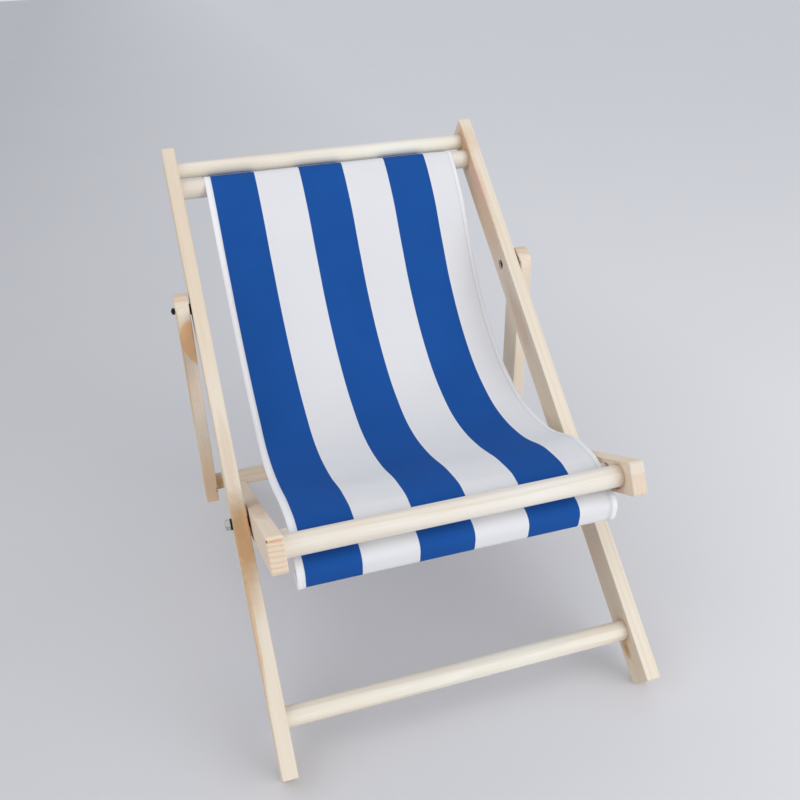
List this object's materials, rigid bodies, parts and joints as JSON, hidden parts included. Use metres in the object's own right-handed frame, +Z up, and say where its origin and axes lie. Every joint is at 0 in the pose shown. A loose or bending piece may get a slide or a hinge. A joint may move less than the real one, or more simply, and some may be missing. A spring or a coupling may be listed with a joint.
{
  "type": "folding deck chair",
  "caption": "Low folding wooden deck chair: crossed back and seat frames, a swinging prop frame and a striped canvas sling held by loose sticks.",
  "frame": {"origin": "on the floor, under the middle of the chair's box", "axes": "+Z up; -Y is the front, where the sitter faces; +X to the sitter's left"},
  "size_m": [0.427, 0.5642, 0.4699],
  "materials": {
    "rail_wood": "sanded raw pine, satin",
    "dowel_wood": "sanded raw pine, satin",
    "stick_wood": "raw pine",
    "canvas": "woven cotton canvas in wide blue and white stripes, matt",
    "bright_steel": "zinc plated",
    "dark_steel": "dark, dull"
  },
  "bodies": {
    "back_frame": {"back_rail_left": "rail_wood", "back_rail_right": "rail_wood", "lower_stretcher": "dowel_wood", "top_cloth_bar": "dowel_wood", "top_dowel": "dowel_wood", "top_sleeve_stick": "stick_wood", "sling_back_panel": "canvas", "sling_top_sleeve": "canvas", "seat_pivot_bolt_left": "bright_steel", "seat_pivot_bolt_right": "bright_steel", "seat_pivot_nut_left": "bright_steel", "seat_pivot_nut_right": "bright_steel", "seat_pivot_spacer_left": "dark_steel", "seat_pivot_spacer_right": "dark_steel", "seat_pivot_washer_left": "dark_steel", "seat_pivot_washer_right": "dark_steel", "prop_pivot_bolt_left": "dark_steel", "prop_pivot_bolt_right": "dark_steel", "prop_pivot_spacer_left": "dark_steel", "prop_pivot_spacer_right": "dark_steel", "prop_pivot_nut_left": "dark_steel", "prop_pivot_nut_right": "dark_steel"},
    "seat_frame": {"seat_rail_left": "rail_wood", "seat_rail_right": "rail_wood", "front_bar": "dowel_wood", "seat_cloth_bar": "dowel_wood", "front_sleeve_stick": "stick_wood", "sling_seat_panel": "canvas", "sling_front_sleeve": "canvas"},
    "prop_frame": {"prop_rail_left": "rail_wood", "prop_rail_right": "rail_wood", "prop_crossbar": "dowel_wood"}
  },
  "joints": [
    {"name": "seat_fold", "type": "hinge", "parent": "back_frame", "child": "seat_frame", "pos_m": [0, -0.07946, 0.17044], "axis": [1, 0, 0], "range_deg": [0, 65.2]},
    {"name": "prop_swing", "type": "hinge", "parent": "back_frame", "child": "prop_frame", "pos_m": [0, 0.11339, 0.32795], "axis": [1, 0, 0], "range_deg": [0, 126.4]}
  ],
  "couplings": [
    {"joint": "prop_swing", "follows": "seat_fold", "ratio": 1.9386}
  ]
}
